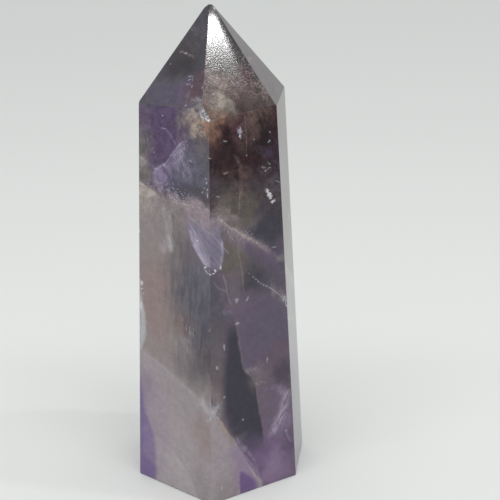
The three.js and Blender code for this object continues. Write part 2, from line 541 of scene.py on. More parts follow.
# The faces that the photograph shows.

def paint_left_face(azimuth_deg):
    """Tall face on the left: indigo with a lilac fan, grey-brown below, milky at the foot."""
    paint = FacePaint("amethyst_left", azimuth_deg, TAUPE, light=0.82)
    banks, clouds, grit = paint.banks, paint.clouds, paint.grit
    hanging = paint.fibres(-66, 1.7, 0.3)
    rising = paint.fibres(46, 2.4, 0.3)
    falling = paint.fibres(-52, 2.2, 0.42)
    upright = paint.fibres(88, 4.0, 0.8)
    # Upper part: indigo, violet in the middle, grey beside the front edge.
    paint.patches([
        (INDIGO, (0, 62), (44, 22), 0, 0.1),
        (MAUVE, (-6.6, 61.5), (4, 9), 0, 0.8, 0.7),
        (VIOLET, (-0.6, 61.2), (8, 9.5), 0, 0.7),
        (GREEN_GREY, (-6.4, 56.2), (5.4, 8), -15, 0.5, 1.0, clouds, 0.2),
        (WARM_GREY, (-6.2, 55.6), (3.6, 5.0), -30, 0.8, 0.6, clouds, 0.6),
        (BROWN, (-4.7, 53.4), (3.0, 3.6), -35, 0.7, 0.6, clouds),
        (DARK_TAUPE, (3.2, 62.6), (3.6, 8), 0, 0.7, 0.8, clouds, 0.5),
        (GREY, (6.8, 56), (4.8, 14), 0, 0.5, 0.95, upright, 0.2),
        (TAN, (6.3, 63.4), (5.0, 5.0), 0, 0.6, 0.85, clouds, 0.5),
        (WARM_GREY, (4.6, 66.0), (4.4, 1.7), -20, 0.7, 0.6, clouds),
        (CREAM, (4.8, 64.4), (3.4, 2.0), -40, 0.8, 0.6, rising, 0.8),
        (CREAM, (5.6, 62.2), (3.4, 1.6), 20, 0.8, 0.6, grit, 0.8),
        (RUST, (8.0, 62.8), (1.8, 4.4), 0, 0.6, 0.8, clouds, 0.3),
        (ICE, (6.8, 64.6), (2.5, 1.0), -46, 0.4, 0.8, grit, 0.5),
    ])
    # Slate hollow with dark pockets, under the fan.
    paint.patches([
        (BLUE_SLATE, (4.0, 54.6), (8.6, 6.6), -20, 0.5, 0.9),
        (CHARCOAL, (2.0, 53.4), (3.0, 2.4), -20, 0.7, 0.75, clouds),
        (CHARCOAL, (3.4, 55.6), (2.6, 2.4), -60, 0.7, 0.4, hanging),
        (DUSK, (5.2, 52.0), (5.6, 2.2), -8, 0.7, 0.7, clouds, 0.4),
        (VIOLET, (-2.4, 58.6), (6, 4), 44, 0.7, 0.8),
    ])
    # Lilac fan with one sharp side, and fibres that hang from it.
    fan_top = [(-4.4, 53.8), (-3.4, 54.9), (-1.9, 55.8), (-1.2, 56.3), (0, 57.6), (1.2, 58.9), (2.6, 60.3)]
    paint.patch(LILAC, (1.9, 56.8), (4.8, 4.8), turn=30, amount=0.35, texture=hanging, depth=0.9)
    paint.veil(LILAC, fan_top, -3.0, texture=rising, depth=0.35)
    paint.patches([
        (PALE_LILAC, (1.7, 58.1), (3.4, 1.8), 46, 0.8, 0.45, grit, 0.8),
        (PALE_LILAC, (2.4, 56.6), (2.6, 4.0), 14, 0.9, 0.4, hanging),
    ])
    paint.line(PALE_LILAC, fan_top, 0.3, amount=0.6, texture=clouds, depth=0.6)
    paint.patches([
        (LILAC, (-2.2, 53.2), (4.4, 3.4), -30, 0.9, 0.6, clouds, 0.6),
        (PURPLE, (-1.6, 53.4), (3.4, 2.0), -30, 0.8, 0.5, hanging, 0.7),
    ])
    paint.line(VIOLET, [(-2.3, 55.8), (-1.3, 55.0), (-0.2, 54.0)], 0.6, amount=0.7)
    paint.patch(INDIGO, (0.2, 57.6), (5, 3.6), amount=0.3)
    paint.flakes(PALE_LILAC, [
        ((-3.2, 55.0), (0.8, 0.3), 30), ((-1.5, 55.9), (0.7, 0.2), 10), ((4.1, 57.2), (0.8, 0.3), -10),
        ((-1.8, 63.6), (0.5, 0.25), 0), ((-1.6, 61.65), (0.8, 0.2), 5), ((-3.7, 57.6), (0.3, 0.25), 0),
        ((0.4, 52.4), (0.7, 0.3), -30), ((-0.6, 52.0), (0.9, 0.25), -20), ((2.2, 51.8), (1.2, 0.25), -35),
        ((1.2, 51.4), (0.7, 0.25), 20), ((3.0, 51.2), (0.7, 0.2), -20), ((3.0, 65.5), (0.35, 0.3), 0),
        ((-0.9, 52.9), (0.8, 0.2), 40), ((0.3, 53.2), (0.6, 0.2), -60), ((1.3, 52.4), (0.5, 0.2), 0),
    ], amount=0.55, ragged=3.4)
    paint.line(LILAC, [(-1.2, 61.7), (0.0, 60.6), (1.2, 59.2)], 0.14, amount=0.55)
    paint.flakes(ICE, [
        ((7.2, 54.9), (0.25, 0.3), 0), ((7.3, 54.2), (0.3, 0.35), 0), ((6.9, 53.4), (0.25, 0.3), 0),
        ((7.5, 53.2), (0.3, 0.5), 0), ((6.5, 52.7), (0.45, 0.35), 30), ((7.5, 52.3), (0.25, 0.7), 0),
        ((8.0, 58.1), (1.0, 0.2), -5), ((-5.1, 59.6), (0.3, 0.2), 0),
    ], amount=0.7)
    # Healed fracture: granular and pale above, smooth and warm below.
    fracture = [(-8, 52.7), (-6, 52.0), (-4, 50.9), (-2, 50.4), (1, 50.2), (4, 50.2), (9, 49.9)]
    paint.patch(PINK_VEIL, (0.4, 51.1), (9, 2.0), turn=-9, soft=0.6, amount=0.7, texture=clouds)
    paint.veil(WARM_GREY, fracture, ALL_UNDER_MM, amount=0.85, fade=0.0)
    paint.patches([
        (PINK_VEIL, (5.6, 48.8), (7, 3.2), 0, 0.6, 0.7),
        (CREAM, (-5.9, 50.8), (4.4, 2.0), -14, 0.4, 0.9, clouds, 0.2),
        (DARK_TAUPE, (-3.2, 49.6), (2.4, 0.9), -20, 0.7, 0.5),
        (CREAM, (-6.0, 49.6), (4.4, 6.0), 0, 0.8, 0.3),
        (DARK_TAUPE, (2.0, 45.4), (7.4, 9), 0, 0.8, 0.5),
    ])
    paint.line(CREAM, [(-7.2, 52.4), (-5.2, 51.7), (-3.2, 50.9)], 0.3, amount=0.8, texture=clouds, depth=0.4)
    paint.patch(CREAM, (-6.2, 51.0), (4.0, 1.8), turn=-16, soft=0.7, amount=0.5, texture=clouds, depth=0.6)
    paint.lines([
        (PALE_MILKY, fracture, 0.2, 0.7, clouds, 0.8),
        (CREAM, [(-7.2, 56.8), (-6.2, 56.3), (-4.8, 55.6)], 0.3, 0.5, clouds),
    ])
    paint.specks(WHITE, (0.8, 51.2), (8, 3.0), 0.36, 0.5, amount=0.5)
    # Warm middle, darker towards the front edge.
    paint.patches([
        (TAUPE, (-2, 38), (16, 22), 0, 0.5, 0.9),
        (PINK_BROWN, (-3.8, 33), (8, 15), 0, 0.7, 0.9),
        (DARK_TAUPE, (2.4, 38.4), (5.4, 16), 0, 0.8, 0.9, banks, 0.15),
    ])
    paint.between(DARK_TAUPE, [(-0.5, 42), (-0.2, 37), (0.3, 32)], [(3, 42), (3, 37), (3, 32)], (0.3, 1.0),
                  amount=0.6, texture=upright, depth=0.5, fade=0.3)
    paint.patches([
        (BLUE_SLATE, (7.0, 35.6), (9.4, 16), 0, 0.7, 1.0, upright, 0.15),
        (ROSE_MAUVE, (3.8, 42.6), (3.4, 3.0), -30, 0.8, 0.5),
        (SLATE, (7.8, 27.6), (7, 11), 0, 0.7, 0.85, upright, 0.3),
        (DUSK, (8.2, 24.5), (5, 6), 0, 0.8, 0.6),
    ])
    paint.line(WARM_GREY, [(-6.0, 35.2), (-2.5, 34.0), (1.2, 33.0)], 0.3, amount=0.35)
    # Narrow lilac loop that hangs from the fracture.
    strands = [
        ([(-2.0, 49.6), (-1.6, 48.2), (-1.1, 46.4), (-0.9, 44.8), (-0.3, 43.2), (-0.1, 41.8)], 0.9),
        ([(-0.6, 48.2), (-0.1, 46.2), (0.1, 44.6), (0.3, 42.4)], 0.6),
    ]
    for strand, width in strands:
        paint.line(PALE_MILKY, strand, width, amount=0.7, upright=True, texture=hanging, depth=0.7)
    paint.patches([
        (GREY, (0.9, 45.4), (2.4, 7), 0, 0.9, 0.35, upright),
        (MILKY, (-1.9, 42.2), (2.2, 1.9), 25, 0.8, 0.7, clouds, 0.6),
        (PALE_MILKY, (-0.3, 42.8), (1.4, 2.2), 0, 0.7, 0.8, clouds, 0.5),
    ])
    # Brick tinge, pale curls and clouds in the middle.
    paint.patches([
        (BRICK, (2.3, 30.6), (3.4, 4.0), -25, 0.8, 0.6, clouds, 0.4),
        (WARM_GREY, (3.6, 27.7), (2.8, 1.4), -8, 0.6, 0.65),
    ])
    paint.line(WARM_GREY, [(1.8, 27.3), (3.0, 26.6), (4.3, 25.7)], 0.7, amount=0.6, texture=clouds, depth=0.5)
    curls = [
        [(3.3, 30.9), (3.2, 29.9), (3.5, 28.9)], [(3.9, 30.4), (3.8, 29.5), (4.4, 28.7)],
        [(4.5, 30.2), (4.8, 29.3), (4.5, 28.5)],
    ]
    for curl in curls:
        paint.line(CREAM, curl, 0.2, amount=0.6, upright=True, texture=grit, depth=0.8)
    paint.flakes(PINK_VEIL, [
        ((3.0, 29.9), (1.1, 0.5), 40), ((4.4, 29.2), (0.9, 0.4), -30), ((2.4, 31.0), (0.8, 0.3), 10),
        ((8.1, 30.6), (0.4, 0.6), 0),
    ], amount=0.45, ragged=3.4)
    paint.patch(CHARCOAL, (3.6, 33.5), (9, 19), turn=12, amount=0.35, texture=upright)
    # Tongue-shaped veil that crosses the front edge: streaks that fall towards its tip.
    tongue = [(2.6, 49.4), (3.4, 46.8), (4.5, 44.3), (6.0, 42.4), (7.4, 40.8), (9.2, 39.7), (12, 36.4)]
    off_face = [(13, 49.4), (13, 43), (13, 36.4)]
    for colour, soft, amount, texture, fade in (
        (BLUE_VEIL, 0.6, 0.85, None, 0.22), (SLATE, 1.2, 0.5, clouds, 0.3), (LILAC, 0.6, 0.6, falling, 0.22),
    ):
        paint.between(colour, tongue, off_face, (soft, 0.2), amount, texture, fade=fade)
    paint.veil(PALE_LILAC, tongue[1:6], 2.2, upright=True, texture=falling, depth=0.6, fade=0.2)
    paint.line(PALE_LILAC, tongue[2:5], 0.5, amount=0.8, upright=True, texture=clouds, depth=0.4)
    paint.patch(PINK_VEIL, (7.0, 48.4), (7, 3.0), turn=-10, soft=0.7, amount=0.7)
    paint.lines([
        (PALE_LILAC, [(3.2, 48.6), (5.4, 47.6), (8.6, 45.9)], 0.2, 0.45),
        (PALE_LILAC, [(3.4, 47.8), (5.2, 45.8), (7.6, 43.4)], 0.2, 0.4),
    ])
    paint.patch(SLATE, (8.3, 41.3), (1.5, 0.9), turn=10, soft=0.6, amount=0.85)
    paint.line(ICE, [(6.6, 41.0), (7.3, 40.2), (8.2, 39.8), (9.2, 39.9)], 0.26, amount=0.7, texture=grit)
    paint.flakes(WHITE, [
        ((7.05, 40.8), (0.5, 0.25), 40), ((5.5, 44.8), (0.6, 0.2), 25), ((8.5, 41.9), (0.4, 0.2), 0),
        ((8.2, 39.9), (0.5, 0.2), -20),
    ], amount=0.8, ragged=3.4)
    # Pale window at the left edge where daylight comes through, with a few bright flaws.
    window_left = [(-9, 36.5), (-9, 30), (-9, 22)]
    window_right = [(-7.3, 36.5), (-6.7, 32.5), (-6.0, 29.5), (-5.9, 27.5), (-6.7, 24.5), (-7.6, 22)]
    paint.between(ICE, window_left, window_right, (0.3, 0.35), amount=0.75,
                  texture=upright, depth=0.3, fade=0.05)
    paint.flakes(WHITE, [
        ((-6.8, 35.4), (0.8, 0.7), 20), ((-6.7, 34.4), (0.5, 0.2), 20), ((-7.0, 31.2), (0.5, 1.6), 0),
        ((-6.4, 33.6), (0.3, 0.2), 0),
    ], amount=0.6)
    # Milky foot under a slanting border, paler still where painted light comes through the stone.
    border = [(-8, 23.8), (-3, 22.1), (0, 20.9), (3, 19.6), (6, 18.0), (9, 15.6)]
    paint.patch(GREY, (5.0, 22.6), (10, 5.4), turn=-18, soft=0.7, amount=0.7, texture=upright, depth=0.3)
    paint.veil(MILKY, border, ALL_UNDER_MM, amount=0.95, fade=0.0)
    paint.line(PALE_MILKY, border, 0.7, amount=0.3)
    paint.patches([
        (PINK_BROWN, (7.0, 12.0), (4.6, 8), 0, 0.8, 0.7),
        (TAUPE, (1.6, 17.6), (14, 7), -30, 0.8, 0.35),
        (TAUPE, (7.0, 3.0), (4.8, 7), 0, 0.8, 0.6),
    ])
    # Painted light: a pale triangle where light comes through the stone at the foot.
    painted_light_border = [(-4.6, 8.6), (-1.6, 7.8), (1.5, 6), (3.5, 4), (5.6, 0.4)]
    paint.veil(PALE_MILKY, painted_light_border, -9, amount=0.6, fade=0.03)
    paint.patches([
        (WARM_GREY, (7.9, 20.4), (1.6, 4.4), 0, 0.8, 0.5, upright, 0.5),
        (ICE, (7.8, 17.0), (3.6, 2.4), -8, 0.8, 0.4, clouds, 0.7),
        (ICE, (8.3, 15.0), (1.8, 1.2), 25, 0.8, 0.5, clouds, 0.4),
    ])
    # Violet strip along the left edge.
    paint.patch(PINK_MAUVE, (-5.0, 9.5), (6, 17), soft=0.95, amount=0.4)
    strip_right = [(-7.4, 19), (-6.6, 14), (-5.4, 10.5), (-4.3, 7.6), (-4.0, 4), (-4.0, -3)]
    strip_left = [(-10, 19), (-10, 8), (-10, -3)]
    paint.between(BLUE_PURPLE, strip_left, strip_right, (0.3, 0.6), amount=0.85, texture=banks, depth=0.15)
    paint.patches([
        (PINK_MAUVE, (-5.0, 5.6), (2.2, 4.4), 0, 0.8, 0.5),
        (PURPLE, (-6.6, 16.4), (3.4, 6), 0, 0.8, 0.35),
        (DEEP_PURPLE, (-6.2, 1.6), (4.0, 4.4), 0, 0.8, 0.5),
        (DEEP_PURPLE, (-7.7, 9.0), (2.0, 14), 0, 0.8, 0.55, clouds, 0.4),
    ])
    # Painted glints: tiny white sparkles low beside the front edge.
    paint.specks(WHITE, (7.2, 4.7), (2.4, 3), 0.4, 0.35, amount=0.4)
    return paint.finish(specular=0.2, mottle=0.2)


def paint_front_face(azimuth_deg):
    """Tall face at the front right: near black and brown above, purple and slate below."""
    paint = FacePaint("amethyst_front", azimuth_deg, MAUVE, light=0.89)
    clouds, grit = paint.clouds, paint.grit
    upright = paint.fibres(84, 4.0, 0.6)
    grainy = paint.fibres(-58, 1.3, 0.24)
    falling = paint.fibres(-52, 2.2, 0.42)
    # Dark upper part.
    paint.patches([
        (AUBERGINE, (0, 62), (50, 27), 0, 0.12),
        (DUSK, (0, 51.0), (30, 5.6), -12, 0.5, 0.9),
        (INK, (-3.8, 58.0), (9, 6.6), 0, 0.6, 0.85, clouds, 0.4),
        (INK, (2.6, 59.5), (5, 9), 0, 0.6, 0.8, clouds, 0.4),
        (BROWN, (0.0, 65.0), (8, 5.4), -8, 0.6, 0.95, grainy, 0.8),
        (WARM_GREY, (-1.2, 66.0), (4.4, 2.6), -20, 0.7, 0.5, grainy),
        (OLIVE, (0.8, 62.8), (3.0, 4.4), 14, 0.8, 0.4, clouds),
        (INK, (-4.2, 58.4), (4.6, 7), 0, 0.8, 0.55, clouds, 0.4),
        (CHARCOAL, (1.8, 43.6), (4.4, 3.4), -30, 0.8, 0.9),
        (WARM_GREY, (-4.0, 44.0), (3.4, 3.0), -30, 0.8, 0.75, clouds, 0.4),
        (PLUM, (-3.0, 63.4), (3.8, 4.4), 0, 0.6, 0.9, clouds, 0.5),
        (RUST, (-7.3, 63.4), (4.0, 5.6), 0, 0.5, 0.9, grainy, 0.5),
        (TAN, (-7.9, 64.2), (2.6, 3.4), 0, 0.8, 0.5, grainy, 0.5),
        (CREAM, (-5.6, 66.0), (4.0, 2.4), -15, 0.7, 0.5, clouds),
        (MAROON, (-5.0, 61.4), (1.8, 3.4), 15, 0.6, 0.9),
        (VIOLET, (3.4, 59), (3.0, 4), 20, 0.7, 0.5, falling),
        (DUSK, (1.4, 57.4), (1.2, 5), 12, 0.9, 0.5),
        (PLUM, (-1, 59.4), (13, 8), 0, 0.6, 0.25, clouds),
        (UMBER, (-4.4, 55.4), (8, 3), -15, 0.7, 0.5, clouds),
        (BROWN, (-2.4, 55.0), (2.4, 4.6), 0, 0.9, 0.35, clouds, 0.6),
    ])
    smoky = paint.fibres(-64, 1.6, 0.5)
    paint.patches([
        (INK, (1.8, 60.4), (5, 7), 20, 0.8, 0.7, smoky),
        (PLUM, (-2.0, 63.0), (3, 3), 0, 0.8, 0.6, smoky),
        (DUSK, (2.6, 53.6), (5, 5), -20, 0.8, 0.6, smoky),
        (INK, (-0.4, 57.0), (5, 4), -20, 0.8, 0.6, smoky),
        (INK, (2.4, 56.6), (6, 4), 20, 0.7, 0.6, grainy),
        (BROWN, (-0.4, 61.8), (2.8, 5.0), -16, 0.8, 0.7, smoky, 0.5),
        (INK, (2.7, 60.2), (2.6, 4.2), 10, 0.7, 0.95, smoky, 0.2),
        (VIOLET, (2.7, 57.8), (2.4, 1.8), 0, 0.8, 0.4),
        (MAROON, (-1.8, 56.8), (8, 2.2), 0, 0.7, 0.5),
        (INK, (-3.9, 60.2), (2.4, 5.6), 16, 0.7, 0.75, smoky, 0.5),
        (MAROON, (-3.2, 62.9), (3.4, 1.8), 0, 0.8, 0.6),
        (BROWN, (-3.9, 63.9), (3.8, 2.6), 13, 0.8, 0.8),
        (RUST, (-7.4, 60.6), (1.8, 4.0), 0, 0.8, 0.4, grainy, 0.5),
    ])
    # Grey-olive belt over the fracture, slate on its right.
    paint.patches([
        (OLIVE, (-3.4, 48.8), (9, 6.6), -16, 0.6, 0.85, paint.banks, 0.3),
        (WARM_GREY, (-5.2, 49.0), (4.2, 1.4), -42, 0.8, 0.5),
        (SLATE, (3.8, 53.2), (5, 5), 0, 0.8, 0.5, clouds, 0.5),
        (CHARCOAL, (3.4, 45.6), (7.4, 7.4), -35, 0.5, 0.95),
        (DUSK, (-7.2, 52.6), (2.6, 4.4), -20, 0.7, 0.6),
    ])
    # Under the fracture: slate-purple, charcoal and olive.
    paint.patches([
        (SLATE, (1.6, 38.6), (11, 9), -30, 0.6, 0.9),
        (OLIVE, (-4.4, 42.0), (4.4, 7), 20, 0.7, 0.9),
        (INDIGO, (3.4, 40.2), (5, 3.4), -38, 0.7, 0.6),
        (CHARCOAL, (-0.6, 37.6), (4.6, 3.2), -36, 0.7, 0.7),
        (SLATE, (-8.4, 33.6), (5.4, 13), 0, 0.5, 0.95),
        (BLUE_SLATE, (-8.0, 36.4), (4, 4), 0, 0.8, 0.4, falling),
        (DARK_TAUPE, (-4.6, 36.4), (3, 5), 0, 0.8, 0.4),
    ])
    # Lower right: grey-purple, bluish in the middle, reddish below, dark under that.
    paint.patches([
        (GREY_PURPLE, (2.0, 28.5), (12, 13), 0, 0.5, 0.9),
        (BLUE_SLATE, (3.6, 28.6), (5, 5), 0, 0.9, 0.3),
        (ROSE_MAUVE, (3.6, 23.4), (6, 4), 0, 0.8, 0.75),
        (CHARCOAL, (4.6, 19.6), (4.6, 4.0), -15, 0.8, 0.7),
        (PURPLE, (2.4, 3.6), (8, 11), 0, 0.7, 0.9),
        (PINK_MAUVE, (2.6, 3.0), (3.4, 6.4), -12, 0.9, 0.75),
        (PINK_MAUVE, (5.0, 1.6), (3.0, 3.0), 0, 0.9, 0.4),
        (INDIGO, (5.6, 6.4), (2.4, 5), 0, 0.8, 0.5),
        (GREY, (-9.0, 24), (6, 17), 0, 0.5, 0.95, upright, 0.2),
        (WARM_GREY, (-9.0, 19.6), (2.2, 3.8), 0, 0.8, 0.6, upright, 0.5),
        (TAUPE, (-8.0, 17.4), (2.6, 4.4), 0, 0.8, 0.5, upright, 0.4),
    ])
    # Healed fracture with the haze under it.
    fracture = [(-8.6, 49.9), (-7.4, 49.5), (-5.3, 47.2), (-3.4, 45.9), (-1.5, 44.6), (1, 42.9),
                (3, 41.4), (5.8, 39.1)]
    paint.veil(MAUVE, fracture, -3.4, amount=0.6)
    paint.veil(PINK_VEIL, fracture[:5], -2.6, amount=0.55, texture=clouds, depth=0.4)
    paint.patch(PINK_VEIL, (-7.6, 47.4), (3.6, 3.2), turn=-35, soft=0.6, amount=0.7)
    paint.lines([
        (TAUPE, fracture, 0.6, 0.5, clouds, 0.6),
        (PINK_VEIL, fracture[1:7], 1.0, 0.6, grit, 0.6),
        (CREAM, fracture[1:6], 0.3, 0.7, grit, 0.8),
    ])
    paint.patches([
        (WARM_GREY, (5.3, 39.6), (2.6, 1.4), -40, 0.8, 0.4),
        (CHARCOAL, (1.7, 44.9), (3.6, 2.6), -35, 0.7, 0.5),
    ])
    paint.specks(WHITE, (-2.4, 45.5), (6, 2.0), 0.36, 0.4, amount=0.5)
    second = [(-2.0, 39.2), (0, 37.3), (1.2, 36.3), (2.5, 35.5), (4.5, 33.8), (5.9, 32.9)]
    paint.lines([
        (ICE, second, 0.22, 0.6, grit),
        (WARM_GREY, second[3:], 1.4, 0.55, clouds, 0.6),
    ])
    # Tongue-shaped veil that comes over the front edge.
    rim = [(-7.0, 48.2), (-6.5, 45.5), (-6.2, 43.5), (-6.4, 41.8), (-7.6, 39.9)]
    edge = [(-13, 48.2), (-13, 44), (-13, 39.9)]
    for colour, soft, amount, texture in (
        (BLUE_VEIL, 0.3, 0.85, None), (SLATE, 1.0, 0.4, clouds), (LILAC, 0.3, 0.6, falling),
    ):
        paint.between(colour, edge, rim, (0.2, soft), amount, texture)
    paint.patch(PINK_VEIL, (-8.0, 47.6), (4.4, 2.6), turn=-35, amount=0.5)
    paint.line(PALE_LILAC, rim[1:], 0.35, amount=0.7, upright=True, texture=clouds, depth=0.5)
    paint.line(PALE_LILAC, [(-8.8, 47.6), (-7.9, 46.0), (-6.4, 44.2), (-4.9, 42.4)], 0.18, amount=0.4)
    paint.patch(SLATE, (-8.6, 41.3), (1.7, 1.2), turn=-10, soft=0.5, amount=0.85)
    # Painted glints: bright white spots at the tip of the tongue.
    paint.flakes(WHITE, [
        ((-7.7, 40.3), (0.3, 0.6), 15), ((-6.7, 40.6), (0.3, 0.5), -20), ((-8.0, 39.9), (0.5, 0.2), 0),
        ((-9.4, 41.3), (0.4, 0.3), 0), ((-8.6, 39.8), (0.6, 0.2), -10),
    ], amount=0.85, ragged=3.4)
    # Long faint threads.
    paint.lines([
        (BRICK, [(-4.4, 58.5), (-3.2, 57.6), (-2.5, 56.0), (-2.4, 53.6), (-2.8, 51)], 0.6, 0.55, clouds, 0.5),
        (WARM_GREY, [(-2.7, 53), (-2.8, 51), (-3.4, 47.5)], 0.26, 0.4, upright),
        (PINK_BROWN, [(-2.2, 65.6), (-1.5, 63.6), (-1.3, 61), (-1.4, 57.8)], 0.14, 0.45, grit, 0.6),
        (GREEN_GREY, [(-3.4, 45.2), (-3.7, 42.5), (-3.5, 39.8)], 0.9, 0.5, upright),
        (WARM_GREY, [(-3.4, 47.5), (-3.4, 44), (-2.9, 40.4), (-2.6, 37.5), (-2.5, 34.6)],
         0.26, 0.4, upright, 0.6),
        (WARM_GREY, [(-6.4, 39.8), (-5.8, 37.6), (-5.5, 35.9), (-4.8, 33.8)], 0.24, 0.45),
    ], upright=True)
    paint.line(WARM_GREY, [(-8.2, 38.8), (-7, 37.2), (-6, 36.6), (-5.4, 35.8)], 0.2, amount=0.35)
    # Charcoal tongue in the lower middle, sharp on its right.
    left_rim = [(-5.4, 34.4), (-5.8, 31), (-6.3, 26), (-6.9, 20), (-6.6, 14), (-5.0, 10.4),
                (-3.2, 7.4), (-1.6, 4.8)]
    right_rim = [(-5.2, 34.4), (-4.5, 32), (-4.0, 30), (-3.6, 27), (-3.0, 22.6), (-1.5, 20.8),
                 (-0.7, 19), (-0.4, 16.5), (0.1, 13), (0.5, 10), (0.5, 7.4), (0.2, 4.8)]
    paint.patch(BRICK, (-7.6, 21), (1.8, 14), soft=0.9, amount=0.3, texture=upright, depth=0.6)
    paint.between(CHARCOAL, left_rim, right_rim, (1.0, 0.2), fade=0.2)
    paint.patches([
        (NIGHT_BLUE, (-2.4, 13.0), (4, 7), 0, 0.8, 0.4),
        (INDIGO, (-2.4, 8.6), (5.6, 4.0), -50, 0.8, 0.8),
        (PURPLE, (-1.4, 5.6), (3.4, 3.0), -50, 0.9, 0.6),
    ])
    paint.lines([
        (TAUPE, right_rim[1:5], 0.4, 0.45, clouds, 0.6),
        (TAUPE, right_rim[4:9], 0.24, 0.45, clouds, 0.5),
    ], upright=True)
    paint.patches([
        (LILAC, (-6.2, 33.2), (2.6, 1.2), -50, 0.8, 0.5, falling),
        (WARM_GREY, (-1.2, 21.4), (3.0, 1.8), -35, 0.7, 0.7, grainy),
        (DARK_TAUPE, (0.5, 20.0), (3.6, 4.2), 0, 0.8, 0.65),
    ])
    paint.flakes(WARM_GREY, [
        ((-0.4, 19.3), (0.9, 0.4), -40), ((0.5, 19.4), (0.8, 0.3), -20), ((1.2, 19.1), (0.6, 0.3), -45),
    ], amount=0.5)
    # Pale wisps at the lower right.
    wisp = [(4.9, 17.2), (5.3, 15.9), (5.0, 14.2), (4.1, 12.2), (3.0, 10.2), (2.3, 8.6)]
    wispy = paint.fibres(62, 1.8, 0.34)
    paint.patch(LILAC, (4.9, 11.2), (3.6, 4.0), turn=-20, amount=0.75, texture=wispy, depth=0.7)
    paint.line(PALE_LILAC, wisp, 1.5, amount=0.75, upright=True, texture=wispy, depth=0.8)
    paint.patch(LILAC, (3.7, 17.3), (2.8, 1.4), turn=-35, amount=0.5, texture=clouds, depth=0.5)
    paint.line(LILAC, [(6.4, 6.6), (5.8, 7.6), (5.2, 9.4)], 0.3, amount=0.5, upright=True)
    # Foot: grey-pink left of a slanting seam, then lilac, with a deep purple block beside it, which is a
    # painted refraction of the back edges seen through the stone.
    seam = [(-10.2, 17.8), (-8.2, 15.6), (-6.5, 12.4), (-5, 10), (-4, 8), (-2.4, 5), (0.2, 1.0)]
    paint.veil(PINK_MAUVE, [(-5.4, 9.4), (-2.6, 6.4), (0.8, 0)], -2.8, amount=0.7, fade=0.1)
    paint.veil(MILKY, seam, -50, fade=0.02)
    paint.patches([
        (PINK_VEIL, (-6.8, 7.5), (4.4, 9), 0, 0.9, 0.8),
        (DARK_TAUPE, (-7.0, 1.6), (5, 4.4), 0, 0.9, 0.35),
    ])
    paint.between(PINK_MAUVE, [(-6.4, 10), (-5.4, 4), (-4.6, 0)], [(-4.6, 10), (-2.8, 5.4), (0, 0)],
                  (0.9, 0.4), amount=0.85)
    # Painted refraction: the back edges seen through the stone, as a deep purple block.
    refracted_block_left = [(-4.3, 4.4), (-4.3, 2), (-4.3, -0.5)]
    refracted_block_right = [(-4.1, 4.4), (-2.4, 2.9), (-1.1, 1.3), (-0.8, -0.5)]
    paint.between(DEEP_PURPLE, refracted_block_left, refracted_block_right, (0.2, 0.5), amount=0.85, fade=0.03)
    paint.lines([
        (TAN, [(-8.6, 15.6), (-7.2, 13.2), (-6.1, 11.2), (-4.9, 9.2)], 0.9, 0.5, clouds, 0.4),
        (CREAM, seam[:5], 0.2, 0.35, clouds, 0.6),
    ])
    paint.patch(PALE_MILKY, (-8.0, 5.6), (5, 12), turn=-14, soft=0.7, amount=0.3)
    for streak in ([(-5.2, 11.0), (-3.5, 8.7), (-2.0, 6.7), (-0.3, 2.6)],
                   [(-5.8, 9.5), (-4.5, 7.8), (-3.3, 6.0), (-1.7, 2.7)]):
        paint.line(LILAC, streak, 0.5, amount=0.65, texture=clouds, depth=0.6)
    paint.patches([
        (ICE, (-9.3, 16.6), (3.4, 2.4), -25, 0.8, 0.55, clouds, 0.7),
        (CHARCOAL, (-4.0, 13.0), (2.6, 5), -20, 0.8, 0.4),
    ])
    # Small bright flaws, with painted glints among the ice-white ones.
    paint.flakes(PALE_LILAC, [((-2.5, 61.6), (0.8, 1.3), 10), ((-2.4, 60.9), (0.6, 0.8), 0)],
                 amount=0.75, ragged=3.4)
    paint.flakes(WHITE, [
        ((2.4, 51.6), (0.6, 1.0), 30), ((2.8, 50.8), (0.8, 1.3), 28), ((3.4, 49.8), (1.0, 0.6), 25),
        ((-2.5, 60.9), (0.4, 0.5), 0),
    ], amount=0.85, ragged=3.6)
    paint.flakes(PINK_BROWN, [
        ((1.7, 55.5), (0.9, 0.4), -10), ((2.6, 55.1), (0.5, 0.3), 0), ((-5.2, 55.5), (1.2, 0.4), 5),
    ], amount=0.6, ragged=3.4)
    paint.flakes(ICE, [
        ((-5.1, 60.4), (0.8, 0.22), -15), ((0.1, 60.1), (0.35, 0.2), 0), ((-1.35, 57.7), (0.3, 0.3), 0),
        ((2.85, 56.0), (0.8, 0.25), -35), ((2.9, 55.3), (0.6, 0.22), -20), ((2.1, 54.9), (0.3, 0.35), 0),
        ((3.1, 60.9), (0.6, 0.22), -30), ((2.9, 59.5), (0.7, 0.3), 35), ((-6.7, 52.0), (0.7, 0.18), -20),
        ((4.3, 52.9), (0.9, 0.16), -30), ((3.5, 42.15), (1.3, 0.18), -3), ((5.3, 33), (0.6, 1.1), -30),
        ((-3.9, 30.7), (0.9, 0.45), 0), ((-6.5, 27.2), (0.4, 1.2), 5), ((-6.8, 18.6), (0.5, 0.5), 0),
        ((-8.0, 24.0), (0.4, 0.7), 10), ((5.3, 9.2), (0.6, 0.4), 30), ((-3.9, 34.6), (0.6, 0.9), 0),
        ((-1.9, 34.4), (0.4, 0.9), -30), ((-3.3, 13.6), (0.5, 0.5), 0), ((-7.9, 2.5), (0.3, 0.8), 0),
        ((1.7, 23.1), (0.3, 0.8), 0), ((-8.0, 58.1), (0.6, 0.2), -10),
    ], amount=0.5)
    return paint.finish(specular=0.2, mottle=0.22)


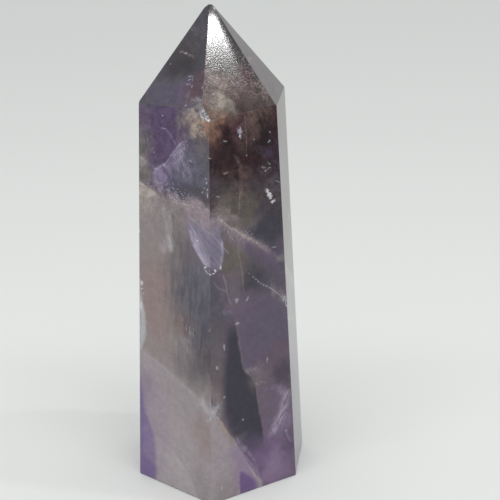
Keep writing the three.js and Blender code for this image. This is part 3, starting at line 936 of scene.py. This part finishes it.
def paint_left_facet(azimuth_deg):
    """Facet of the point on the left: charcoal above, indigo below."""
    paint = FacePaint("amethyst_left_facet", azimuth_deg, CHARCOAL, light=0.94)
    clouds, grit = paint.clouds, paint.grit
    slanting = paint.fibres(-38, 2.6, 0.5)
    paint.patches([
        (GREY, (-0.6, 75.6), (4, 5), 0, 0.8, 0.5, slanting),
        (DUSK, (-2.6, 73.0), (6, 4), -10, 0.8, 0.5),
        (SLATE, (-1, 66), (26, 8), 0, 0.4, 1.0, paint.banks, 0.2),
        (INDIGO, (-2.0, 66.6), (9, 3.4), 0, 0.7, 0.6),
        (VIOLET, (2.2, 67.4), (4.4, 4), 0, 0.7, 0.6),
        (INK, (0.4, 71.0), (5, 2.2), 0, 0.8, 0.35),
        (INK, (-1.4, 71.6), (6, 4.0), 20, 0.8, 0.45),
        (PLUM, (4.0, 68.2), (3.0, 3.6), -20, 0.8, 0.8),
        (WARM_GREY, (4.7, 66.3), (3.4, 1.2), -14, 0.8, 0.6, clouds),
        (TAUPE, (6.0, 64.8), (4.4, 2.6), 0, 0.7, 0.7, clouds, 0.5),
    ])
    paint.lines([
        (TAUPE, [(-3.1, 72.8), (-2.2, 72.8), (-1.2, 72.6), (0.2, 72.3), (1.0, 71.7)], 0.24, 0.45, grit, 0.7),
        (DARK_TAUPE, [(-3.0, 77), (-1.6, 75.6), (0, 74.6)], 0.3, 0.5, clouds),
    ])
    ring = [(1.0, 69.0), (1.3, 69.5), (1.9, 69.6), (2.5, 69.3), (2.5, 68.8)]
    paint.lines([
        (PALE_LILAC, ring, 0.16, 0.7, grit, 0.8),
        (PALE_LILAC, [(1.2, 68.7), (1.8, 68.4), (2.4, 68.7)], 0.16, 0.7, grit),
    ])
    paint.flakes(PALE_LILAC, [
        ((-1.4, 72.7), (0.7, 0.3), 5), ((1.7, 69.1), (0.7, 0.16), 30), ((2.7, 68.2), (0.3, 0.4), -20),
        ((2.2, 69.2), (0.5, 0.16), -40), ((4.8, 68.2), (0.3, 0.4), 0), ((3.1, 65.6), (0.4, 0.3), 0),
        ((-3.7, 71), (0.3, 0.2), 0), ((5.6, 66.6), (0.25, 0.3), 0),
    ], amount=0.65)
    paint.line(PINK_VEIL, [(5.2, 68), (5.6, 67.2), (5.9, 66.5)], 0.14, amount=0.5, upright=True)
    return paint.finish(specular=0.4, mottle=0.14)


# The polish of the front facet, in millimetres: it falls away a little towards its right
# ridge, the tip and the shoulder, and its fine orange peel grows towards the shoulder.
FACET_TIP = (-0.5, 79.6)
FACET_FLAT_SLOPE = 0.09
FACET_FALL_PER_MM = 0.0195
TIP_DULL_FROM_MM = 77.85
TIP_FALL_PER_MM = 0.014
PEEL_SIZE_MM = 0.2
FLAT_ABOVE_MM = 74.05
SHOULDER_FALL_PER_MM = 0.001
KNEE_SLOPE = 0.02
KNEE_MM = 1.1
PEEL_FINEST_AT_MM = 77.0
PEEL_COARSEST_AT_MM = 73.5
PEEL_LOW_MM = 0.003
PEEL_HIGH_MM = 0.008

# Fine grain in its gloss.
GRAIN_SIZE_MM = 0.2
GRAIN_LOW = 0.74
GRAIN_HIGH = 1.3

# Painted glitter: fine dark and pale specks in its colour under the glare, where the orange peel glints.
PAINTED_GLITTER_SIZE_MM = 0.24
PAINTED_GLITTER_SHARE = 0.5
PAINTED_GLITTER_ABOVE_MM = (65.0, 68.0)
PAINTED_GLITTER_BELOW_MM = (71.5, 74.5)
NOISE_MIDDLE = 0.5


def front_facet_relief(paint):
    """How far the polish of the front facet lies over its flat plane, in millimetres."""
    # The fall towards the right ridge, and then towards the tip.
    down = paint.math("SUBTRACT", FACET_TIP[1], paint.height)
    right = paint.math("SUBTRACT", paint.across, FACET_TIP[0])
    past = paint.math("MAXIMUM", paint.math("MULTIPLY_ADD", down, -FACET_FLAT_SLOPE, right), 0.0)
    fall = paint.math("MULTIPLY", paint.math("POWER", past, 2.0), -FACET_FALL_PER_MM)
    up = paint.math("MAXIMUM", paint.math("SUBTRACT", paint.height, TIP_DULL_FROM_MM), 0.0)
    relief = paint.math("MULTIPLY_ADD", paint.math("POWER", up, 2.0), -TIP_FALL_PER_MM, fall)
    # The fall towards the shoulder, with a knee, and the orange peel.
    low = paint.math("MAXIMUM", paint.math("SUBTRACT", FLAT_ABOVE_MM, paint.height), 0.0)
    low_square = paint.math("POWER", low, 2.0)
    relief = paint.math("MULTIPLY_ADD", low_square, -SHOULDER_FALL_PER_MM, relief)
    knee = paint.math("DIVIDE", low_square, paint.math("ADD", low, KNEE_MM))
    relief = paint.math("MULTIPLY_ADD", knee, -KNEE_SLOPE, relief)
    peel = paint.noise(paint.solid, PEEL_SIZE_MM, 1.0)
    size = paint.ramp(paint.height, PEEL_COARSEST_AT_MM, PEEL_FINEST_AT_MM, PEEL_HIGH_MM, PEEL_LOW_MM)
    return paint.math("MULTIPLY_ADD", peel, size, relief)


def paint_front_facet(azimuth_deg):
    """Facet of the point at the front: the lamp glares on it, and it glitters below, partly through painted
    glitter.
    """
    paint = FacePaint("amethyst_front_facet", azimuth_deg, BROWN, light=1.05)
    clouds, grit = paint.clouds, paint.grit
    grainy = paint.fibres(-58, 1.3, 0.24)
    paint.patches([
        (INK, (0.4, 76.4), (16, 13.6), 0, 0.35),
        (PLUM, (0.6, 68.0), (5, 3.6), 0, 0.7, 0.8, clouds, 0.4),
        (UMBER, (3.4, 66.0), (3.4, 4.0), 0, 0.7, 0.8, grainy, 0.6),
        (PLUM, (2.2, 69.4), (3.0, 3.6), -30, 0.8, 0.7),
        (UMBER, (1.0, 64.6), (10, 3.4), 6, 0.7, 0.95, clouds, 0.3),
        (MAROON, (-1.4, 63.8), (5, 2.0), 8, 0.8, 0.9),
        (OLIVE, (3.3, 65.4), (1.6, 2.2), 20, 0.8, 0.5, clouds),
        (PINK_BROWN, (-4.0, 68.2), (3.8, 3.4), -10, 0.8, 0.7, clouds, 0.4),
        (CREAM, (-4.2, 66.1), (3.8, 2.4), -25, 0.9, 0.65, clouds, 0.2),
        (TAN, (-6.3, 65.2), (2.4, 2.2), 0, 0.8, 0.6, grainy, 0.5),
        (RUST, (-5.6, 64.0), (3.4, 1.6), 0, 0.8, 0.7, clouds, 0.4),
        # Painted glints: a pale grainy strip along the ridge to the right facet.
        (WARM_GREY, (4.3, 68.4), (1.4, 5.0), -12, 0.8, 0.7, grit),
        (PLUM, (-5.2, 69.6), (2.0, 5.0), -14, 0.8, 0.7),
        (CHARCOAL, (2.8, 70.9), (2.6, 5.0), 30, 0.8, 0.8, grit, 0.4),
        (MAROON, (1.8, 65.0), (9, 3.4), 6, 0.8, 0.45),
    ])
    # Painted glitter: dark and pale specks that stand in for glints below the glare.
    painted_glitter = paint.noise(paint.solid, PAINTED_GLITTER_SIZE_MM, 1.0)
    share = paint.math("MULTIPLY", paint.ramp(paint.height, *PAINTED_GLITTER_ABOVE_MM),
                       paint.ramp(paint.height, *PAINTED_GLITTER_BELOW_MM, PAINTED_GLITTER_SHARE, 0.0))
    for colour, strongest in ((INK, NOISE_LEAST), (CREAM, NOISE_MOST)):
        paint.cover(colour, paint.math("MULTIPLY", share, paint.ramp(painted_glitter, NOISE_MIDDLE, strongest)))
    grain = paint.noise(paint.solid, GRAIN_SIZE_MM, 1.0)
    grain = paint.ramp(grain, NOISE_LEAST, NOISE_MOST, GRAIN_LOW, GRAIN_HIGH)
    return paint.finish(roughness=0.12, mottle=0.34, relief=front_facet_relief(paint), grain=grain)


# The faces that the photograph doesn't show, or shows only edge-on.

# Zones of colour inside the stone, in millimetres: colour, middle and size.
ZONES_UNDER_FRACTURE = [
    (PINK_BROWN, (-13, -3, 36), (10, 12, 20)),
    (SLATE, (-10, 9, 28), (14, 12, 22)),
    (BLUE_PURPLE, (-12, -7, 7), (7, 7, 18)),
    (DARK_TAUPE, (-9, 10, 12), (12, 10, 14)),
    (INDIGO, (-3, 13, 33), (9, 8, 9)),
    (BLUE_SLATE, (-1, 13, 17), (12, 10, 14)),
    (CHARCOAL, (3, 12, 24), (5, 7, 22)),
    (GREY_PURPLE, (9, 10, 17), (12, 10, 24)),
    (MAUVE, (14, 3, 24), (8, 12, 16)),
    (PURPLE, (13, -4, 8), (8, 10, 14)),
    (PINK_MAUVE, (4, 12, 3), (14, 8, 7)),
]
ZONES_OVER_FRACTURE = [
    (GREEN_GREY, (-13, -5, 54), (7, 9, 10)),
    (VIOLET, (-13, 3, 61), (9, 12, 12)),
    (CHARCOAL, (-5, 12, 60), (12, 8, 14)),
    (UMBER, (4, 11, 49), (12, 8, 12)),
    (MAROON, (10, 7, 58), (10, 10, 14)),
    (INK, (12, -2, 54), (8, 10, 18)),
    (SLATE, (2, 6, 76), (14, 14, 8)),
]

# Smoke in the stone, drawn out upright.
SMOKE_SIZE_MM = 7.0
SMOKE_SHAPE = (1.0, 1.0, 0.4)

# How far from the fracture, and from the border of the milky foot, each layer begins and ends.
FRACTURE_SOFT_MM = 0.15
FRACTURE_RIM_MM = 0.3
DUSK_FROM_MM = 1.0
DUSK_TO_MM = 6.0
HAZE_SOFT_MM = 0.1
HAZE_MM = 2.6
FOOT_SOFT_MM = 0.3
FOOT_RIM_MM = 0.4
FOOT_PURPLE_FROM_MM = 1.0
FOOT_PURPLE_TO_MM = 5.0


def start_hidden_face(name, azimuth_deg, ground):
    """The same stone as on the front: dark over the fracture, cloudy below, milky at the foot."""
    paint = FacePaint(name, azimuth_deg, ground)
    banks, clouds = paint.banks, paint.clouds
    upright = paint.fibres(84, 4.0, 0.5)
    for colour, at, size in ZONES_UNDER_FRACTURE:
        paint.zone(colour, at, size)
    rising = paint.vector("MULTIPLY", paint.solid, SMOKE_SHAPE)
    smoke = paint.noise(rising, SMOKE_SIZE_MM, detail=3.0, distortion=0.5)
    paint.cover(CHARCOAL, paint.ramp(smoke, 0.35, 0.75, 0.0, 0.8))
    paint.cover(PINK_VEIL, paint.ramp(smoke, 0.5, 0.2, 0.0, 0.6))
    paint.cover(TAUPE, 0.2, texture=upright)
    over = paint.over(FRACTURE)
    within = paint.ramp(over, -FRACTURE_SOFT_MM, FRACTURE_SOFT_MM)
    paint.cover(OLIVE, within)
    paint.cover(DUSK, paint.math("MULTIPLY", within, paint.ramp(over, DUSK_FROM_MM, DUSK_TO_MM)))
    for colour, at, size in ZONES_OVER_FRACTURE:
        paint.zone(colour, at, size, within)
    paint.cover(INK, paint.math("MULTIPLY", within, paint.ramp(smoke, 0.4, 0.7, 0.0, 0.8)))
    paint.cover(UMBER, paint.math("MULTIPLY", within, 0.35), texture=clouds)
    # The haze under the fracture, and its bright rim.
    under = paint.ramp(over, HAZE_SOFT_MM, -HAZE_SOFT_MM)
    haze = paint.math("MULTIPLY", under, paint.ramp(over, -HAZE_MM, 0.0, 0.0, 0.7))
    paint.cover(PINK_VEIL, haze, texture=clouds, depth=0.5)
    rim = paint.ramp(paint.math("ABSOLUTE", over), 0.0, FRACTURE_RIM_MM, 0.8, 0.0)
    paint.cover(CREAM, rim, texture=paint.grit, depth=0.7)
    # The milky foot and its rim.
    foot = paint.over(MILKY_FOOT)
    paint.cover(MILKY, paint.ramp(foot, FOOT_SOFT_MM, -FOOT_SOFT_MM), texture=banks, depth=0.3)
    purple = paint.ramp(foot, -FOOT_PURPLE_FROM_MM, -FOOT_PURPLE_TO_MM, 0.0, 0.6)
    paint.cover(PURPLE, purple, texture=banks)
    rim = paint.ramp(paint.math("ABSOLUTE", foot), 0.0, FOOT_RIM_MM, 0.5, 0.0)
    paint.cover(CREAM, rim, texture=clouds, depth=0.5)
    return paint


def hang_fan(paint, rim, reach_mm, turn_deg):
    """A lilac veil that hangs from a curve, drawn out in fine streaks."""
    streaks = paint.fibres(turn_deg, 3.0, 0.34)
    paint.veil(LILAC, rim, -reach_mm, amount=0.7, texture=paint.clouds, depth=0.5, fade=0.3)
    paint.veil(PALE_LILAC, rim, -reach_mm / 2, amount=0.6, texture=streaks, depth=0.9, fade=0.35)
    paint.line(PALE_LILAC, rim, 0.2, amount=0.5, texture=paint.grit, depth=0.9)


def heal_crack(paint, points):
    """A healed crack: a thin bright seam with crumbs, and a faint haze about it."""
    paint.veil(DARK_TAUPE, points, -2.4, amount=0.5, texture=paint.clouds, fade=0.2)
    paint.line(WARM_GREY, points, 0.9, amount=0.5, texture=paint.grit)
    paint.line(CREAM, points, 0.22, amount=0.75, texture=paint.grit, depth=0.8)


def draw_thread(paint, points):
    """A thin upright streak."""
    paint.line(WARM_GREY, points, 0.24, amount=0.45, upright=True, texture=paint.clouds, depth=0.6)


def paint_right_face(azimuth_deg):
    paint = start_hidden_face("amethyst_right", azimuth_deg, MAUVE)
    paint.patches([
        (DEEP_PURPLE, (-3.4, 54), (7, 6), -20, 0.9, 0.6, paint.banks, 0.4),
        (DEEP_PURPLE, (4.0, 19), (6, 13), 10, 0.8, 0.5, paint.clouds, 0.3),
        (CHARCOAL, (-2.6, 14), (3.4, 14), -14, 0.5, 0.75),
    ])
    heal_crack(paint, [(-8, 31.4), (-3, 28.6), (2, 26.8), (8, 22.4)])
    draw_thread(paint, [(-3.0, 62), (-2.2, 56), (-2.6, 47), (-1.8, 41)])
    paint.patch(LILAC, (3, 13), (6, 2.6), turn=38, amount=0.6, texture=paint.fibres(38, 1.8, 0.3))
    paint.flakes(WHITE, [
        ((3.4, 44.8), (1.0, 0.6), 30), ((-4.1, 57.6), (0.7, 0.3), -20), ((5.2, 33.5), (0.4, 0.9), 10),
        ((-5.0, 20.6), (0.5, 0.5), 0), ((1.2, 18.4), (0.4, 0.7), 10), ((4.6, 60.2), (0.6, 0.3), 20),
    ], amount=0.6, ragged=3.4)
    return paint.finish(specular=0.95, mottle=0.22)


def paint_right_facet(azimuth_deg):
    paint = start_hidden_face("amethyst_right_facet", azimuth_deg, SLATE)
    paint.line(WARM_GREY, [(-3.4, 70.2), (-1.0, 71.6), (1.6, 71.2)], 0.4, amount=0.5, texture=paint.grit)
    return paint.finish(specular=0.5, mottle=0.16)


def paint_left_back_face(azimuth_deg):
    paint = start_hidden_face("amethyst_left_back", azimuth_deg, WARM_GREY)
    clouds = paint.clouds
    paint.patches([
        (TAN, (-5.6, 62.4), (4.4, 4.4), 0, 0.8, 0.7, clouds, 0.5),
        (DEEP_PURPLE, (4.6, 57), (5, 9), 0, 0.8, 0.6, clouds, 0.3),
    ])
    hang_fan(paint, [(-4.4, 56.6), (-1.8, 58.0), (1.6, 61.0), (4.2, 62.8)], 7, -66)
    paint.patch(LILAC, (1.2, 43.4), (3.0, 6.4), turn=-30, soft=0.5, amount=0.7, texture=clouds, depth=0.5)
    heal_crack(paint, [(-8, 38.2), (-4, 36.8), (1, 32.0), (8, 29.4)])
    heal_crack(paint, [(-1, 22.4), (3, 21.0), (8, 17.2)])
    draw_thread(paint, [(-2.8, 47), (-3.4, 40), (-2.9, 33), (-3.3, 26)])
    draw_thread(paint, [(4.0, 50), (3.3, 43), (3.7, 36)])
    paint.flakes(WHITE, [
        ((7.1, 44.4), (0.5, 0.9), 10), ((-5.6, 50.6), (1.1, 0.4), 24), ((-0.6, 52.8), (1.3, 0.6), 30),
        ((2.2, 41.5), (0.5, 0.9), -20), ((-4.9, 27.6), (0.5, 0.8), 10), ((-2.0, 10.6), (0.4, 0.4), 0),
        ((4.6, 12.2), (0.4, 0.7), 15), ((-5.7, 61.4), (0.7, 0.3), 0),
    ], amount=0.65, ragged=3.4)
    return paint.finish(specular=0.3, mottle=0.22)


def paint_right_back_face(azimuth_deg):
    paint = start_hidden_face("amethyst_right_back", azimuth_deg, MAUVE)
    clouds = paint.clouds
    paint.patches([
        (RUST, (4.4, 61.4), (4.4, 5.0), 0, 0.8, 0.6, clouds, 0.5),
        (DEEP_PURPLE, (-3.8, 25), (6, 10), 16, 0.8, 0.5, clouds, 0.3),
        (CHARCOAL, (2.8, 24), (3.4, 13), 14, 0.5, 0.75),
    ])
    hang_fan(paint, [(-5.0, 47.4), (-2.0, 46.2), (2.0, 42.4), (5.4, 40.6)], 5, -118)
    heal_crack(paint, [(-8, 22.6), (-3, 20.8), (2, 16.2), (8, 14.6)])
    draw_thread(paint, [(2.6, 45), (3.4, 38), (3.0, 31), (3.8, 25)])
    wisp = paint.fibres(60, 1.8, 0.34)
    paint.patch(LILAC, (-2.6, 10.8), (3.4, 6.4), turn=-24, amount=0.75, texture=wisp, depth=0.7)
    streak = [(-4.2, 5.6), (-3.2, 9.6), (-1.6, 13.4)]
    paint.line(PALE_LILAC, streak, 0.9, amount=0.6, upright=True, texture=wisp)
    paint.flakes(WHITE, [
        ((4.8, 59.2), (0.6, 1.1), 24), ((-3.6, 60.6), (0.8, 0.3), -20), ((0.8, 41.2), (0.9, 0.5), 20),
        ((5.4, 34.0), (0.4, 0.8), 10), ((-4.6, 30.2), (0.5, 0.5), 0), ((3.4, 9.4), (0.4, 0.7), 10),
    ], amount=0.65, ragged=3.4)
    return paint.finish(specular=0.3, mottle=0.22)


def paint_back_face(azimuth_deg):
    paint = start_hidden_face("amethyst_back", azimuth_deg, DARK_TAUPE)
    clouds = paint.clouds
    hang_fan(paint, [(-3.0, 53.0), (-0.8, 53.6), (2.6, 57.2), (5.6, 59.8)], 9, -76)
    # A dark tongue with a thin reddish seam on its right, as on the front.
    seam = [(1.0, 32.6), (0.6, 27.4), (2.0, 19.8), (1.4, 12.6), (2.2, 5.0)]
    left_rim = [(0.2, 32.6), (-2.4, 27.4), (-3.4, 17.8), (-2.0, 10.4), (1.6, 5.0)]
    paint.between(CHARCOAL, left_rim, seam, (0.8, 0.2), amount=0.95, fade=0.2)
    paint.patches([
        (DEEP_PURPLE, (5.2, 13), (5, 13), 0, 0.8, 0.5, clouds, 0.3),
        (LILAC, (-3.4, 30.4), (5, 2.6), 30, 0.8, 0.6, clouds, 0.6),
    ])
    paint.line(BRICK, seam, 0.26, amount=0.6, upright=True, texture=clouds, depth=0.5)
    heal_crack(paint, [(-8, 24.4), (-5, 22.6), (-2, 18.4)])
    draw_thread(paint, [(4.4, 40), (3.8, 33), (4.6, 26)])
    paint.flakes(WHITE, [
        ((-4.4, 58.6), (0.9, 0.4), 30), ((4.6, 50.2), (1.0, 1.4), 28), ((5.2, 49.0), (1.0, 0.6), 20),
        ((-5.6, 41.0), (0.5, 0.8), -10), ((5.0, 22.6), (0.4, 0.8), 10), ((-5.0, 12.2), (0.5, 0.5), 0),
        ((1.6, 46.4), (0.8, 0.3), -20),
    ], amount=0.7, ragged=3.4)
    return paint.finish(specular=0.3, mottle=0.22)


def paint_left_back_facet(azimuth_deg):
    paint = start_hidden_face("amethyst_left_back_facet", azimuth_deg, SLATE)
    hang_fan(paint, [(-3.4, 67.4), (0.2, 69.2), (2.8, 71.8)], 3.4, -58)
    return paint.finish(specular=0.4, mottle=0.2)


def paint_right_back_facet(azimuth_deg):
    paint = start_hidden_face("amethyst_right_back_facet", azimuth_deg, SLATE)
    heal_crack(paint, [(-5, 69.8), (-1, 68.4), (4, 66.2)])
    return paint.finish(specular=0.4, mottle=0.2)


def paint_back_facet(azimuth_deg):
    paint = start_hidden_face("amethyst_back_facet", azimuth_deg, SLATE)
    paint.line(WARM_GREY, [(-3.6, 72.0), (-0.4, 70.4), (3.0, 70.8)], 0.4, amount=0.5, texture=paint.grit)
    return paint.finish(specular=0.4, mottle=0.2)


def paint_base(azimuth_deg):
    """Ground flat, and less glossy than the faces."""
    return start_hidden_face("amethyst_base", azimuth_deg, MAUVE).finish(roughness=0.3)


# Which way each face looks: azimuth and lean in degrees, as on the solid.
FACES = [
    (238.5, 2.3, paint_left_face),
    (309.8, 1.6, paint_front_face),
    (237.3, 35.9, paint_left_facet),
    (305.0, 37.4, paint_front_facet),
    (358.7, 2.9, paint_right_face),
    (354.3, 37.4, paint_right_facet),
    (180.5, 1.9, paint_left_back_face),
    (55.1, 2.0, paint_right_back_face),
    (118.0, 2.1, paint_back_face),
    (180.8, 35.2, paint_left_back_facet),
    (60.0, 36.4, paint_right_back_facet),
    (120.0, 36.0, paint_back_facet),
    (270.0, -90.0, paint_base),
]

# A small face is part of a chip when some of the stone stands this far in front of it.
CHIP_DEPTH_MM = 0.03
SAME_PLANE_DEG = 0.3
SAME_POINT_M = 1e-6

# The worn edges take their normals from the large faces beside them.
LARGE_FACE_WEIGHT = 100

# The crumbs on a chip.
CRUMB_SIZE_MM = 0.25
CRUMB_HEIGHT_MM = 0.03


def paint_chips():
    """Broken spots: silvery, uneven and less glossy than the polish."""
    paint = FacePaint("amethyst_chip", 270.0, GREY)
    paint.cover(ICE, 1.0, texture=paint.grit)
    crumbs = paint.noise(paint.solid, CRUMB_SIZE_MM, 2.0)
    relief = paint.math("MULTIPLY", crumbs, CRUMB_HEIGHT_MM)
    return paint.finish(roughness=0.45, specular=0.3, mottle=0.3, relief=relief)


def look_direction(azimuth_deg, lean_deg):
    """The direction in which a face looks."""
    azimuth = math.radians(azimuth_deg)
    lean = math.radians(lean_deg)
    return Vector((
        math.cos(azimuth) * math.cos(lean),
        math.sin(azimuth) * math.cos(lean),
        math.sin(lean),
    ))


def make_stone():
    """The solid's own shape with clean flat faces, and a material for each face."""
    mesh = bpy.data.meshes.new("stone")
    shape = bmesh.new()
    shape.from_mesh(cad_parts["obelisk"].data)
    bmesh.ops.remove_doubles(shape, verts=shape.verts, dist=SAME_POINT_M)
    bmesh.ops.dissolve_limit(
        shape, angle_limit=math.radians(SAME_PLANE_DEG), verts=shape.verts, edges=shape.edges
    )
    directions = np.array([look_direction(azimuth, lean) for azimuth, lean, _ in FACES])
    points = np.array([vert.co for vert in shape.verts])
    for face in shape.faces:
        normal = np.array(face.normal)
        in_front = (points @ normal).max() - normal @ np.array(face.calc_center_median())
        is_chip = in_front > CHIP_DEPTH_MM * MM
        face.material_index = len(FACES) if is_chip else int((directions @ normal).argmax())
        face.smooth = True
    shape.to_mesh(mesh)
    shape.free()
    for azimuth, _, paint in FACES:
        mesh.materials.append(paint(azimuth))
    mesh.materials.append(paint_chips())
    stone = bpy.data.objects.new("stone", mesh)
    bpy.context.scene.collection.objects.link(stone)
    evened = stone.modifiers.new("even_normals", "WEIGHTED_NORMAL")
    evened.keep_sharp = True
    evened.weight = LARGE_FACE_WEIGHT
    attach(stone, "root")
    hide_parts("obelisk")


make_camera()
make_floor()
make_lights()
make_stone()
